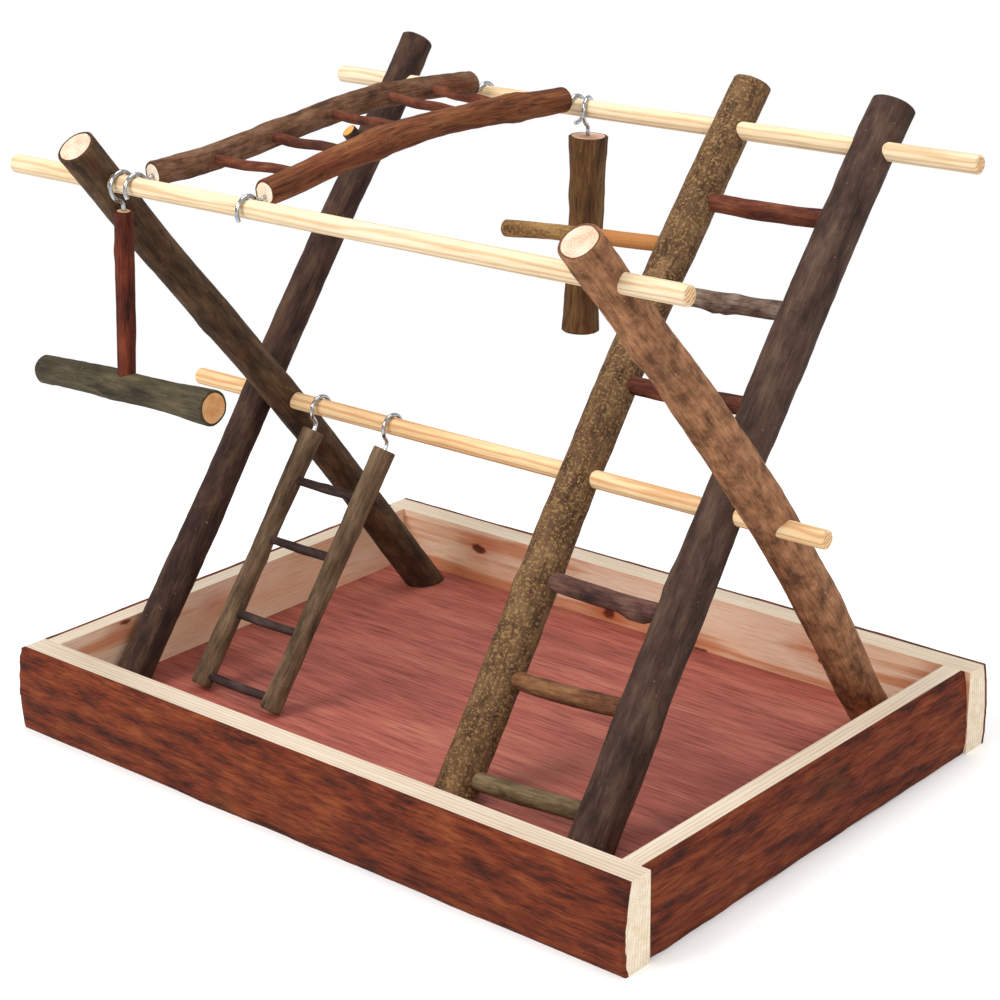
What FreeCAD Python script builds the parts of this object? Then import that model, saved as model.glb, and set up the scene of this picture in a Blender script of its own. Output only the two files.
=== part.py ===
import FreeCAD, Part
import math
import os
import re

import Sketcher
from FreeCAD import Vector

# Parrot play stand: a rectangular tray of bark-edged boards, five leaning natural poles bored for
# three through perches, a climbing ladder between two of the poles, and four pieces that hang from
# the perches on open screw hooks: a T-shaped swing, a log, a small ladder and an arched bridge.
# The origin is at the middle of the stand's footprint, on the ground. X runs along the tray to the
# right, Y from the front to the back and Z up. Everything is in millimetres and degrees.

SIZES = {
    # Tray: two long boards cap the ends of two short ones, and a plywood floor lies between them.
    "tray_length": 515.0,
    "tray_depth": 390.0,
    "tray_left_x": -243.5,
    "board_height": 58.0,
    "long_board_thickness": 24.0,
    "long_board_top": 19.6,
    "long_board_bottom": 22.0,
    "short_board_thickness": 19.0,
    "short_board_top": 15.7,
    "short_board_bottom": 17.0,
    "left_board_reach": 3.0,
    "right_board_setback": 1.0,
    "floor_height": 10.0,
    "floor_thickness": 6.0,
    # Brads through the long boards, into the end grain of the short ones and the edges of the floor.
    "brad_thickness": 2.0,
    "brad_length": 40.0,
    "brad_low_z": 22.0,
    "brad_high_z": 46.0,
    "floor_brad_from_corner": 70.0,
    # Screws up through the floor into the foot of each pole.
    "screw_thickness": 3.8,
    "screw_head": 7.6,
    "screw_head_height": 2.0,
    "screw_length": 24.0,
    "screw_shift": 6.0,
    # Through perches, parallel to the long boards.
    "perch_thickness": 12.0,
    "perch_easing": 1.5,
    "bore_play": 0.1,
    "back_perch_x": -269.5,
    "back_perch_y": 162.2,
    "back_perch_z": 392.0,
    "back_perch_length": 533.0,
    "front_perch_x": -270.0,
    "front_perch_y": -141.7,
    "front_perch_z": 376.0,
    "front_perch_length": 541.0,
    "middle_perch_x": -272.0,
    "middle_perch_y": 8.8,
    "middle_perch_z": 196.0,
    "middle_perch_length": 535.0,
    # Poles: where each stands along the tray, and how far it runs on past its upper perch.
    "left_back_pole_x": -211.7,
    "left_back_pole_rise": 34.0,
    "left_front_pole_x": -186.0,
    "left_front_pole_rise": 31.0,
    "ladder_left_pole_x": 78.0,
    "ladder_left_pole_rise": 36.0,
    "ladder_right_pole_x": 186.0,
    "ladder_right_pole_rise": 34.0,
    "right_front_pole_x": 220.0,
    "right_front_pole_rise": 33.0,
    # Ladder rungs, in blind seats that end this far from the axes of the two poles.
    "rung_inset": 4.0,
    "seat_gap": 0.3,
    # Side perch: a stick let into the left ladder pole.
    "side_perch_height": 391.0,
    "side_perch_length": 135.5,
    "side_perch_tilt": 3.7,
    # Open screw hooks.
    "hook_wire": 2.8,
    "hook_ring": 9.2,
    "hook_bend": 4.0,
    "hook_straight": 14.0,
    "hook_showing": 3.0,
    "hook_rest": 0.3,
    "hook_wrap": 255.0,
    "lift_off_wrap": 188.0,
    # T-shaped swing on the front perch.
    "swing_x": -167.5,
    "swing_lean": 4.0,
    "swing_tilt": 1.6,
    "swing_stem_length": 113.0,
    "swing_seat_depth": 6.0,
    "swing_perch_length": 163.0,
    "swing_perch_left": 82.0,
    # Log on the back perch.
    "log_x": -38.5,
    "log_turn": 20.0,
    "log_lean": 2.2,
    "log_length": 137.5,
    "log_hook_showing": 4.5,
    # Small ladder from the middle perch down to the floor.
    "climber_left_x": -150.0,
    "climber_width": 67.0,
    "climber_foot_y": -102.0,
    "climber_rack": 5.7,
    "climber_rung_inset": 2.4,
    "foot_gap": 0.3,
    # Arched bridge from the back perch to the front perch.
    "bridge_left_front_x": -154.0,
    "bridge_left_back_x": -130.0,
    "bridge_right_front_x": -54.5,
    "bridge_right_back_x": -48.5,
    "bridge_hook_tilt": 24.0,
    "bridge_over_hook": 2.0,
    "bridge_rung_inset": 2.6,
}

# Natural sticks, from the foot, front or left end onwards. Each section is given as its share of the
# stick's length, its sway to local X, its sway to local Y and its thickness.
STICKS = {
    "left_back_pole": [
        (-0.06, 0.0, 4.5, 25.0), (0.1, 0.0, 3.0, 24.6), (0.24, 0.6, 2.6, 23.6), (0.36, 0.3, 1.0, 23.4),
        (0.45, 0.0, 0.0, 23.0), (0.62, -0.8, -1.4, 23.2), (0.78, -0.4, -1.6, 22.6), (0.93, 0.0, 0.0, 23.0),
        (1.0, 0.3, -2.4, 23.0),
    ],
    "left_front_pole": [
        (-0.06, 0.0, -10.5, 26.4), (0.08, 0.0, -8.0, 26.0), (0.22, 0.0, -4.4, 24.6), (0.36, 0.5, -1.4, 24.0),
        (0.47, 0.0, 0.0, 23.6), (0.62, -1.6, 0.8, 24.6), (0.78, -0.8, -0.8, 24.4), (0.94, 0.0, 0.0, 25.6),
        (1.0, 0.0, 0.4, 26.0),
    ],
    "ladder_left_pole": [
        (-0.06, 0.0, 14.0, 28.4), (0.08, 0.0, 9.2, 27.8), (0.22, 0.2, 5.2, 27.4), (0.36, -0.2, 1.4, 27.4),
        (0.45, -0.6, 0.0, 27.0), (0.62, -0.8, -1.6, 26.4), (0.78, 0.0, -1.4, 26.4), (0.93, 0.0, 2.2, 26.2),
        (1.0, 0.0, 5.0, 26.6),
    ],
    "ladder_right_pole": [
        (-0.06, 0.0, 12.0, 29.4), (0.08, 0.0, 8.0, 29.2), (0.22, -0.8, 4.6, 28.8), (0.36, -0.3, 1.6, 28.8),
        (0.45, 0.0, 0.0, 28.6), (0.62, 0.6, -1.2, 28.2), (0.78, 0.4, -0.8, 28.4), (0.93, 0.0, 2.4, 28.2),
        (1.0, 0.0, 5.4, 28.6),
    ],
    "right_front_pole": [
        (-0.06, -0.5, -15.0, 28.0), (0.08, -1.2, -9.6, 28.0), (0.18, -1.6, -3.0, 28.6),
        (0.32, -1.6, 4.0, 29.0), (0.47, -0.6, 4.6, 29.6), (0.6, 0.2, 4.4, 28.6), (0.78, -1.0, 2.8, 26.4),
        (0.94, -3.4, 0.0, 24.4), (1.0, -3.8, -1.4, 25.0),
    ],
    "ladder_rung": [
        (0.0, 0.0, 0.0, 12.2), (0.12, 0.0, 0.0, 12.2), (0.4, 0.7, 0.6, 12.8), (0.7, -0.5, 0.8, 12.4),
        (0.88, 0.0, 0.0, 12.2), (1.0, 0.0, 0.0, 12.2),
    ],
    "side_perch": [
        (0.0, 0.0, 0.0, 10.4), (0.08, 0.0, 0.0, 10.4), (0.4, 0.6, 0.4, 10.2), (0.75, 0.0, -0.6, 11.0),
        (1.0, -0.8, 0.0, 11.6),
    ],
    "swing_stem": [
        (0.0, 0.0, 0.0, 12.0), (0.06, 0.0, 0.0, 12.0), (0.3, 0.6, 0.0, 12.4), (0.62, -0.2, 0.4, 12.4),
        (1.0, 0.0, 0.0, 11.8),
    ],
    "swing_perch": [
        (0.0, 1.0, 0.0, 18.8), (0.25, 0.0, 0.6, 19.2), (0.5, -0.6, 0.0, 20.0), (0.78, 0.0, -0.4, 20.4),
        (0.93, 0.4, 0.0, 21.8), (1.0, 0.6, 0.0, 22.6),
    ],
    "hanging_log": [
        (0.0, 0.0, 0.0, 27.6), (0.12, 0.0, 0.0, 26.0), (0.35, 0.6, 0.0, 24.2), (0.65, 0.8, 0.0, 23.8),
        (0.88, 0.2, 0.0, 25.8), (1.0, 0.0, 0.0, 28.4),
    ],
    "climber_stile": [
        (0.0, 0.0, 0.0, 14.6), (0.3, 0.5, -0.5, 14.0), (0.65, -0.4, 0.4, 14.4), (1.0, 0.0, 0.0, 15.4),
    ],
    "climber_rung": [
        (0.0, 0.0, 0.0, 6.0), (0.12, 0.0, 0.0, 6.0), (0.5, 0.5, 0.4, 6.4), (0.88, 0.0, 0.0, 6.0),
        (1.0, 0.0, 0.0, 6.0),
    ],
    "bridge_left_stile": [
        (0.0, 0.0, 1.5, 16.0), (0.05, 0.0, 2.0, 16.6), (0.2, 0.0, 1.0, 16.6), (0.34, 0.6, -3.4, 17.8),
        (0.48, 0.0, -8.0, 16.8), (0.64, -0.6, -11.0, 17.4), (0.82, 0.0, -9.4, 16.4),
        (0.95, 0.0, -4.4, 16.6), (1.0, 0.0, -3.0, 16.4),
    ],
    "bridge_right_stile": [
        (0.0, 0.0, 0.0, 16.6), (0.05, 0.0, -0.6, 17.2), (0.2, 0.0, -5.8, 17.6), (0.36, 0.0, -9.6, 19.0),
        (0.48, 0.4, -10.6, 17.4), (0.66, 0.0, -8.4, 17.2), (0.8, 0.0, -5.4, 18.4),
        (0.95, 0.0, -1.0, 17.2), (1.0, 0.0, 0.0, 17.4),
    ],
    "bridge_rung": [
        (0.0, 0.0, 0.0, 7.0), (0.1, 0.0, 0.0, 7.0), (0.35, 0.8, 0.6, 6.4), (0.65, -0.4, -0.8, 6.6),
        (0.9, 0.0, 0.0, 7.0), (1.0, 0.0, 0.0, 7.0),
    ],
}

# Rungs: distances up the left and right poles of the big ladder, up from the feet of the small one,
# and along the left and right stiles of the bridge from its front ends.
LADDER_RUNGS = [(425.0, 426.5), (359.0, 362.0), (293.5, 297.0), (159.0, 159.0), (93.0, 97.5), (26.0, 32.0)]
CLIMBER_RUNGS = [154.0, 110.0, 54.5, 7.5]
BRIDGE_RUNGS = [(46.0, 35.0), (94.0, 76.0), (144.0, 129.0), (195.0, 184.0), (235.0, 222.0)]

for kind, sections in STICKS.items():
    for number, (share, sway_x, sway_y, thickness) in enumerate(sections):
        SIZES[f"{kind}_sway_x_{number}"] = sway_x
        SIZES[f"{kind}_sway_y_{number}"] = sway_y
        SIZES[f"{kind}_thickness_{number}"] = thickness
for number, (left, right) in enumerate(LADDER_RUNGS, 1):
    SIZES[f"ladder_rung_{number}_left"] = left
    SIZES[f"ladder_rung_{number}_right"] = right
for number, up in enumerate(CLIMBER_RUNGS, 1):
    SIZES[f"climber_rung_{number}_up"] = up
for number, (left, right) in enumerate(BRIDGE_RUNGS, 1):
    SIZES[f"bridge_rung_{number}_left"] = left
    SIZES[f"bridge_rung_{number}_right"] = right

# Sticks thinner than this have ten-sided sections, and thicker ones twelve-sided.
THIN_STICK = 18.0
HOOK_SIDES = 8

doc = FreeCAD.newDocument("PlayStand")
sheet = doc.addObject("Spreadsheet::Sheet", "Sizes")
for row, (name, size) in enumerate(SIZES.items(), 1):
    sheet.set(f"A{row}", name.replace("_", " "))
    sheet.set(f"B{row}", str(size))
    sheet.setAlias(f"B{row}", name)
doc.recompute()


# Formulas. Each is text in the names of the sheet, so that what is bound to it follows the sheet.

def live(formula):
    """The formula with every named size pointed at its cell."""
    return re.sub(r"[a-z][a-z_0-9]*", lambda word: ("Sizes." if word[0] in SIZES else "") + word[0], formula)


def value(formula):
    """What the formula comes to now."""
    result = sheet.evalExpression(live(formula))
    return float(getattr(result, "Value", result))


def derive(name, formula):
    """Add a size to the sheet that is worked out from others there, and return its name."""
    SIZES[name] = formula
    row = len(SIZES)
    sheet.set(f"A{row}", name.replace("_", " "))
    sheet.set(f"B{row}", f"={formula}")
    sheet.setAlias(f"B{row}", name)
    sheet.recompute()
    return name


def spot(x, y, z, *turns):
    """Placement formula: a point, then turns, each an axis and an angle."""
    axes = {"X": "1; 0; 0", "Y": "0; 1; 0", "Z": "0; 0; 1"}
    turned = " * ".join(f"rotation(vector({axes[axis]}); {angle})" for axis, angle in turns)
    return f"placement(vector({x}; {y}; {z}); {turned or 'rotation(vector(0; 0; 1); 0)'})"


def shifted(where, distance):
    """The same placement, moved along its own Z axis."""
    return f"{where} * {spot(0, 0, distance)}"


def span(label, start, end):
    """Placement and length of what runs from one point to another along its own Z axis."""
    for axis, here, there in zip("xyz", start, end):
        derive(f"{label}_run_{axis}", f"{there} - ({here})")
    flat = derive(f"{label}_run_flat", f"hypot({label}_run_x; {label}_run_y)")
    length = derive(f"{label}_run", f"hypot({flat}; {label}_run_z)")
    heading = ("Z", f"-atan2({label}_run_x; {label}_run_y)")
    return spot(*start, heading, ("X", f"atan2({label}_run_z; {flat})"), ("X", "-90")), length


def sway_at(kind, axis, share):
    """Formula for the sway of a stick at a share of its length, straight between two sections."""
    shares = [section[0] for section in STICKS[kind]]
    after = next(number for number, place in enumerate(shares) if place >= share)
    part = (share - shares[after - 1]) / (shares[after] - shares[after - 1])
    sway = f"{kind}_sway_{axis}_"
    return f"({sway}{after - 1} * {1 - part:.4f} + {sway}{after} * {part:.4f})"


# Builders shared by the pieces below.

def new_body(label):
    body = doc.addObject("PartDesign::Body", label)
    body.Label = label
    return body


def new_sketch(body, name, role):
    """Sketch on one of the body's own origin planes."""
    sketch = body.newObject("Sketcher::SketchObject", name)
    plane = next(feature for feature in body.Origin.OriginFeatures if feature.Role == role)
    sketch.AttachmentSupport = [(plane, "")]
    sketch.MapMode = "FlatFace"
    return sketch


def bind(sketch, name, constraint, formula):
    """Named constraint of a sketch that follows the sheet."""
    index = sketch.addConstraint(constraint)
    sketch.renameConstraint(index, name)
    sketch.setExpression(f"Constraints.{name}", live(formula))


def round_section(sketch, thickness):
    """Circle of the given thickness about the sketch's origin."""
    radius = value(thickness) / 2
    sketch.addGeometry(Part.Circle(Vector(0, 0, 0), Vector(0, 0, 1), radius), False)
    sketch.addConstraint(Sketcher.Constraint("Coincident", 0, 3, -1, 1))
    bind(sketch, "thickness", Sketcher.Constraint("Diameter", 0, 2 * radius), thickness)


def sided_section(sketch, thickness, sides):
    """Regular polygon whose corners lie on the circle of the given thickness."""
    radius = value(thickness) / 2
    corners = [Vector(radius, 0, 0)]
    for number in range(1, sides):
        turn = math.tau * number / sides
        corners.append(Vector(radius * math.cos(turn), radius * math.sin(turn), 0))
    for here, there in zip(corners, corners[1:] + corners[:1]):
        sketch.addGeometry(Part.LineSegment(here, there), False)
    sketch.addGeometry(Part.Circle(Vector(0, 0, 0), Vector(0, 0, 1), radius), True)
    sketch.addConstraint(Sketcher.Constraint("Coincident", sides, 3, -1, 1))
    for number in range(sides):
        sketch.addConstraint(Sketcher.Constraint("Coincident", number, 2, (number + 1) % sides, 1))
        sketch.addConstraint(Sketcher.Constraint("PointOnObject", number, 1, sides))
    for number in range(1, sides):
        sketch.addConstraint(Sketcher.Constraint("Equal", 0, number))
    sketch.addConstraint(Sketcher.Constraint("PointOnObject", 0, 1, -1))
    bind(sketch, "thickness", Sketcher.Constraint("Diameter", sides, 2 * radius), thickness)


def stick(label, kind, length, where):
    """Natural stick along local Z, running straight from each many-sided section to the next."""
    sides = 12 if value(f"{kind}_thickness_0") > THIN_STICK else 10
    sections = []
    for number, section in enumerate(STICKS[kind]):
        outline = doc.addObject("Part::RegularPolygon", f"{label}_section_{number}")
        outline.Polygon = sides
        outline.setExpression("Circumradius", live(f"{kind}_thickness_{number} / 2"))
        middle = (f"{kind}_sway_x_{number}", f"{kind}_sway_y_{number}", f"{section[0]} * {length}")
        outline.setExpression("Placement", live(spot(*middle)))
        sections.append(outline)
    loft = doc.addObject("Part::Loft", label)
    loft.Sections = sections
    loft.Solid = True
    loft.Ruled = True
    loft.setExpression("Placement", live(where))
    return loft


def bar(label, thickness, length, where):
    """Straight round bar along local Z: a brad, or the drill for a seat."""
    cylinder = doc.addObject("Part::Cylinder", label)
    cylinder.setExpression("Radius", live(f"({thickness}) / 2"))
    cylinder.setExpression("Height", live(length))
    cylinder.setExpression("Placement", live(where))
    return cylinder


def seat(label, kind, length, where):
    """Drill for the blind seats of a rung: the rung's line and end thickness, with play all round."""
    thickness = f"{kind}_thickness_0 + bore_play"
    return bar(label, thickness, f"{length} + 2 * seat_gap", shifted(where, "-seat_gap"))


def together(label, pieces, kind="Part::MultiFuse"):
    group = doc.addObject(kind, label)
    if kind == "Part::Compound":
        group.Links = pieces
    else:
        group.Shapes = pieces
    return group


def bored(label, blank, drills):
    """The finished piece: a blank with every drill taken out of it."""
    blank.Label = f"{label}_blank"
    cut = doc.addObject("Part::Cut", label)
    cut.Label = label
    cut.Base = blank
    cut.Tool = drills[0] if len(drills) == 1 else together(f"{label}_drills", drills)
    return keep(cut)


nodes = []


def keep(piece):
    """Count a piece among the sub-parts that are written out under their own labels."""
    nodes.append(piece)
    return piece


# Tray boards: sawn flat inside, above and below, with the rounded bark side facing out.

INNER_DEPTH = "(tray_depth - 2 * long_board_thickness)"
TRAY_RIGHT = "(tray_left_x + tray_length)"
LEFT_INNER = "(tray_left_x - left_board_reach + short_board_thickness)"
RIGHT_INNER = f"({TRAY_RIGHT} - right_board_setback - short_board_thickness)"
FRONT_INNER = "(long_board_thickness - tray_depth / 2)"
FLOOR_TOP = "(floor_height + floor_thickness)"


def board(label, size, length, where):
    """Board along local X: inner face on local Y = 0, bark towards local -Y, bottom edge on the ground."""
    body = new_body(label)
    top, bottom, thickness = (f"{size}_{name}" for name in ("top", "bottom", "thickness"))
    chord = f"hypot(board_height; {top} - {bottom})"
    bulge = f"({thickness} - ({top} + {bottom}) / 2)"
    radius = f"(({chord})^2 / 4 + {bulge}^2) / (2 * {bulge})"
    height, width_up, width_down, round_radius = map(value, ("board_height", top, bottom, radius))
    upper, lower = Vector(-width_up, height, 0), Vector(-width_down, 0, 0)
    middle = (upper + lower) / 2
    along = (lower - upper).normalize()
    centre = middle + Vector(-along.y, along.x, 0) * math.sqrt(round_radius ** 2 - value(chord) ** 2 / 4)
    angles = [math.atan2(point.y - centre.y, point.x - centre.x) % math.tau for point in (upper, lower)]

    sketch = new_sketch(body, f"{label}_profile", "YZ_Plane")
    sketch.addGeometry(Part.LineSegment(Vector(0, 0, 0), Vector(0, height, 0)), False)
    sketch.addGeometry(Part.LineSegment(Vector(0, height, 0), upper), False)
    circle = Part.Circle(centre, Vector(0, 0, 1), round_radius)
    sketch.addGeometry(Part.ArcOfCircle(circle, *angles), False)
    sketch.addGeometry(Part.LineSegment(lower, Vector(0, 0, 0)), False)
    for number in range(4):
        sketch.addConstraint(Sketcher.Constraint("Coincident", number, 2, (number + 1) % 4, 1))
    sketch.addConstraint(Sketcher.Constraint("Coincident", 0, 1, -1, 1))
    sketch.addConstraint(Sketcher.Constraint("Vertical", 0))
    sketch.addConstraint(Sketcher.Constraint("Horizontal", 1))
    sketch.addConstraint(Sketcher.Constraint("Horizontal", 3))
    bind(sketch, "height", Sketcher.Constraint("DistanceY", 0, 1, 0, 2, height), "board_height")
    bind(sketch, "top", Sketcher.Constraint("DistanceX", 1, 2, 1, 1, width_up), top)
    bind(sketch, "bottom", Sketcher.Constraint("DistanceX", 3, 1, 3, 2, width_down), bottom)
    bind(sketch, "rounding", Sketcher.Constraint("Radius", 2, round_radius), radius)

    pad = body.newObject("PartDesign::Pad", f"{label}_pad")
    pad.Profile = sketch
    pad.setExpression("Length", live(length))
    body.setExpression("Placement", live(where))
    return body


boards = {
    "front_board": board("front_board", "long_board", "tray_length", spot("tray_left_x", FRONT_INNER, 0)),
    "back_board": board("back_board", "long_board", "tray_length",
                        spot(TRAY_RIGHT, f"-{FRONT_INNER}", 0, ("Z", "180"))),
    "left_board": board("left_board", "short_board", INNER_DEPTH,
                        spot(LEFT_INNER, f"{INNER_DEPTH} / 2", 0, ("Z", "-90"))),
    "right_board": board("right_board", "short_board", INNER_DEPTH,
                         spot(RIGHT_INNER, f"-{INNER_DEPTH} / 2", 0, ("Z", "90"))),
}

floor_blank = doc.addObject("Part::Box", "floor_panel")
floor_blank.setExpression("Length", live(f"{RIGHT_INNER} - {LEFT_INNER}"))
floor_blank.setExpression("Width", live(INNER_DEPTH))
floor_blank.setExpression("Height", live("floor_thickness"))
floor_blank.setExpression("Placement", live(spot(LEFT_INNER, FRONT_INNER, "floor_height")))

# Brads. Each starts just under the bark of a long board and points inwards, through its inner face.
# Each place is a side of the tray, a distance along it and a height.

FLOOR_LEFT = f"({LEFT_INNER} + floor_brad_from_corner)"
FLOOR_RIGHT = f"({RIGHT_INNER} - floor_brad_from_corner)"
LEFT_JOINT = f"({LEFT_INNER} - short_board_thickness / 2)"
RIGHT_JOINT = f"({RIGHT_INNER} + short_board_thickness / 2)"
FLOOR_MIDDLE = "(floor_height + floor_thickness / 2)"
brad_places = [(side, x, z) for side in ("front", "back") for x in (LEFT_JOINT, RIGHT_JOINT)
               for z in ("brad_low_z", "brad_high_z")]
brad_places += [(side, x, FLOOR_MIDDLE) for side in ("front", "back")
                for x in (FLOOR_LEFT, FLOOR_RIGHT)]


def brad_line(side, along, height, start):
    """Placement of a brad, whose local Z points into the tray from so far outside the inner face."""
    if side == "front":
        return spot(along, f"{FRONT_INNER} - {start}", height, ("X", "-90"))
    return spot(along, f"-{FRONT_INNER} + {start}", height, ("X", "90"))


brads, brad_drills = [], []
for number, (side, along, height) in enumerate(brad_places, 1):
    head = brad_line(side, along, height, "long_board_bottom")
    brads.append(bar(f"brad_{number}", "brad_thickness", "brad_length", head))
    brad_drills.append(bar(f"brad_drill_{number}", "brad_thickness + bore_play",
                           "brad_length + long_board_thickness + seat_gap",
                           shifted(head, "-long_board_thickness")))
keep(together("board_brads", brads, "Part::Compound"))
brad_holes = together("brad_holes", brad_drills)
for name, blank in boards.items():
    bored(name, blank, [brad_holes])

# Perches: straight dowels with eased ends, right through every pole that they meet.


def perch(label):
    body = new_body(label)
    sketch = new_sketch(body, f"{label}_circle", "YZ_Plane")
    round_section(sketch, "perch_thickness")
    pad = body.newObject("PartDesign::Pad", f"{label}_pad")
    pad.Profile = sketch
    pad.setExpression("Length", live(f"{label}_length"))
    doc.recompute()
    rims = [f"Edge{number}" for number, edge in enumerate(pad.Shape.Edges, 1)
            if isinstance(edge.Curve, Part.Circle)]
    easing = body.newObject("PartDesign::Chamfer", f"{label}_easing")
    easing.Base = (pad, rims)
    easing.setExpression("Size", live("perch_easing"))
    body.setExpression("Placement", live(spot(f"{label}_x", f"{label}_y", f"{label}_z")))
    return keep(body)


PERCHES = ("back_perch", "front_perch", "middle_perch")
for name in PERCHES:
    perch(name)
perch_bores = together("perch_bores", [
    bar(f"{name}_drill", "perch_thickness + bore_play", f"{name}_length",
        spot(f"{name}_x", f"{name}_y", f"{name}_z", ("Y", "90"))) for name in PERCHES])

# Poles. Each one's axis runs from the floor through the middle perch and then an upper one. Its foot
# is sawn level to stand on the floor, and a screw comes up into it from below.

UPPER_PERCH = {
    "left_back_pole": "back_perch",
    "left_front_pole": "front_perch",
    "ladder_left_pole": "back_perch",
    "ladder_right_pole": "back_perch",
    "right_front_pole": "front_perch",
}
for upper in ("back_perch", "front_perch"):
    derive(f"lean_to_{upper}", f"atan2({upper}_y - middle_perch_y; {upper}_z - middle_perch_z)")
    derive(f"foot_under_{upper}", f"middle_perch_y - (middle_perch_z - {FLOOR_TOP}) * tan(lean_to_{upper})")
for name, upper in UPPER_PERCH.items():
    derive(f"{name}_length", f"({upper}_z - {FLOOR_TOP}) / cos(lean_to_{upper}) + {name}_rise")


def pole_blank(name):
    upper = UPPER_PERCH[name]
    where = spot(f"{name}_x", f"foot_under_{upper}", FLOOR_TOP, ("X", f"-lean_to_{upper}"))
    return stick(name, name, f"{name}_length", where)


def on_pole(name, up, across="0"):
    """Point formulas on the middle line of a pole, a distance up from its foot and some way across."""
    upper = UPPER_PERCH[name]
    share = value(f"{up} / {name}_length")
    sway = sway_at(name, "y", share)
    return (f"({name}_x + {sway_at(name, 'x', share)} + {across})",
            f"(foot_under_{upper} + {up} * sin(lean_to_{upper}) + {sway} * cos(lean_to_{upper}))",
            f"({FLOOR_TOP} + {up} * cos(lean_to_{upper}) - {sway} * sin(lean_to_{upper}))")


def screw(label, x, y, play):
    """Countersunk wood screw, or its drill, pointing up from the underside of the floor."""
    where = spot(x, y, "floor_height")
    head = doc.addObject("Part::Cone", f"{label}_head")
    head.setExpression("Radius1", live(f"(screw_head + {play}) / 2"))
    head.setExpression("Radius2", live(f"(screw_thickness + {play}) / 2"))
    head.setExpression("Height", live("screw_head_height"))
    head.setExpression("Placement", live(where))
    shank = bar(f"{label}_shank", f"screw_thickness + {play}", f"screw_length + {play}", where)
    return together(label, [head, shank])


screws, screw_drills = {}, {}
for name, upper in UPPER_PERCH.items():
    lean = f"lean_to_{upper}"
    forward = f"{sway_at(name, 'y', 0.0)} / cos({lean}) + screw_shift * sin({lean}) / abs(sin({lean}))"
    x, y = f"{name}_x + {sway_at(name, 'x', 0.0)}", f"foot_under_{upper} + {forward}"
    screws[name] = screw(f"{name}_screw", x, y, "0")
    screw_drills[name] = screw(f"{name}_screw_drill", x, y, "bore_play")
keep(together("pole_screws", list(screws.values()), "Part::Compound"))
bored("floor_panel", floor_blank, [brad_holes, *screw_drills.values()])

# The ground block takes off what of a pole would reach below the floor.
ground = doc.addObject("Part::Box", "ground")
ground.setExpression("Length", live("2 * tray_length"))
ground.setExpression("Width", live("2 * tray_depth"))
ground.setExpression("Height", live("2 * board_height"))
ground_corner = spot("-tray_length", "-tray_depth", f"{FLOOR_TOP} - 2 * board_height")
ground.setExpression("Placement", live(ground_corner))

for name in ("left_back_pole", "left_front_pole", "right_front_pole"):
    bored(name, pole_blank(name), [ground, perch_bores, screw_drills[name]])

# Big ladder: six rungs in blind seats between the two poles on the right of the back perch.

rung_seats = []
for number in range(1, len(LADDER_RUNGS) + 1):
    label = f"ladder_rung_{number}"
    where, length = span(label, on_pole("ladder_left_pole", f"{label}_left", "rung_inset"),
                         on_pole("ladder_right_pole", f"{label}_right", "-rung_inset"))
    keep(stick(label, "ladder_rung", length, where))
    rung_seats.append(seat(f"{label}_seat", "ladder_rung", length, where))

# Side perch: a stick in a seat on the outer side of the left ladder pole.

side_base = on_pole("ladder_left_pole", "side_perch_height", "-rung_inset")
side_where = spot(*side_base, ("X", "-lean_to_back_perch"), ("Y", "-90 - side_perch_tilt"))
keep(stick("side_perch", "side_perch", "side_perch_length", side_where))
side_seat = seat("side_perch_seat", "side_perch", "side_perch_length", side_where)

bored("ladder_left_pole", pole_blank("ladder_left_pole"),
      [ground, perch_bores, screw_drills["ladder_left_pole"], side_seat, *rung_seats])
bored("ladder_right_pole", pole_blank("ladder_right_pole"),
      [ground, perch_bores, screw_drills["ladder_right_pole"], *rung_seats])

# Hooks: bent wire, a straight shank that screws into a stick, an S-bend and a ring that is open on
# the side of the shank. The ring's middle is at the local origin and the shank points along local -Z.

derive("hook_drop", "sqrt((hook_ring + hook_bend)^2 - hook_bend^2)")
derive("hook_hang", "hook_ring - hook_wire / 2 - perch_thickness / 2 - hook_rest")
derive("hook_reach", "hook_drop + hook_showing")


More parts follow.
